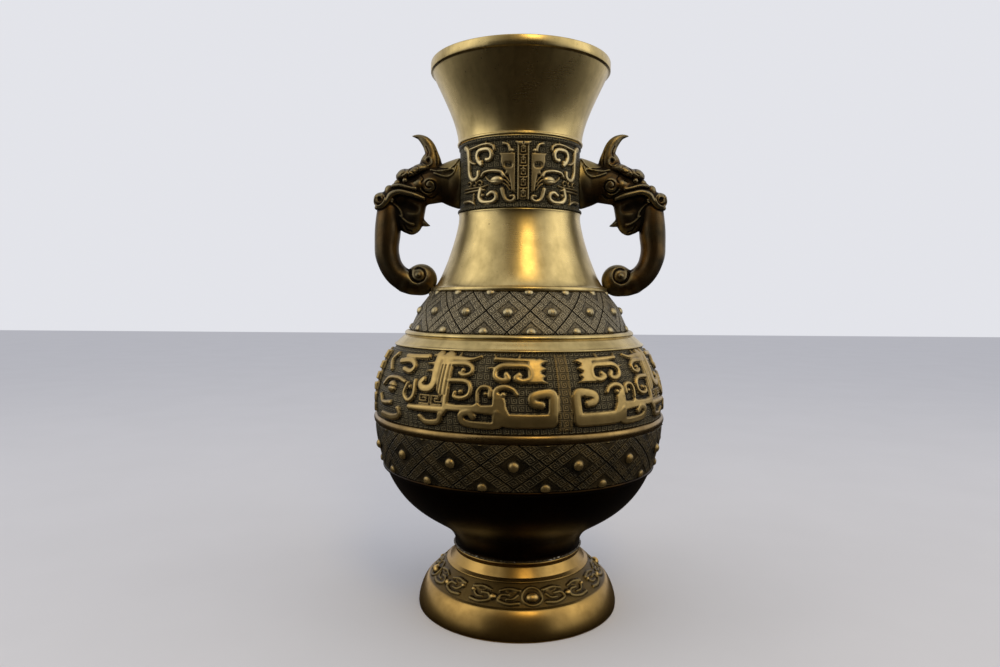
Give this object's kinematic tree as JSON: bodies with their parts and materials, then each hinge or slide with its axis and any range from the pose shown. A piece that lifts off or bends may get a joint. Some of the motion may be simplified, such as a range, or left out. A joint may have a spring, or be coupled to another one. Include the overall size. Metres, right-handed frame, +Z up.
{
  "type": "floor vase",
  "caption": "Tall baluster floor vase of cast and spun metal rings with relief bands and beast-head handles.",
  "frame": {"origin": "centre of the foot's underside, on the surface that the vase stands on", "axes": "+Z up along the axis of the vase, handles along -X and +X, front towards -Y"},
  "size_m": [0.3258, 0.3216, 0.6],
  "materials": {
    "satin_brass": "turned and brushed brass with a warm brown patina",
    "relief_bronze": "cast relief, dark patina in the ground and rubbed bright on the raised work",
    "dark_bowl": "smooth brass with a dark brown patina",
    "handle_bronze": "cast handle with a dark brown patina, rubbed on its high places",
    "bolt_steel": "plain steel bolt inside the neck",
    "solder": "dull soft solder"
  },
  "bodies": {
    "root": {"foot": "satin_brass", "waist_solder": "solder", "lower_bowl": "dark_bowl", "floor_disc": "dark_bowl", "lower_lozenge_band": "relief_bronze", "belly_ring": "satin_brass", "belly_mask_band": "relief_bronze", "shoulder_moulding": "satin_brass", "shoulder_lozenge_band": "relief_bronze", "neck_cone": "satin_brass", "neck_collar": "relief_bronze", "mouth_cup": "satin_brass", "right_handle": "handle_bronze", "left_handle": "handle_bronze", "right_lower_bolt": "bolt_steel", "left_lower_bolt": "bolt_steel", "right_upper_bolt": "bolt_steel", "left_upper_bolt": "bolt_steel"}
  },
  "joints": []
}
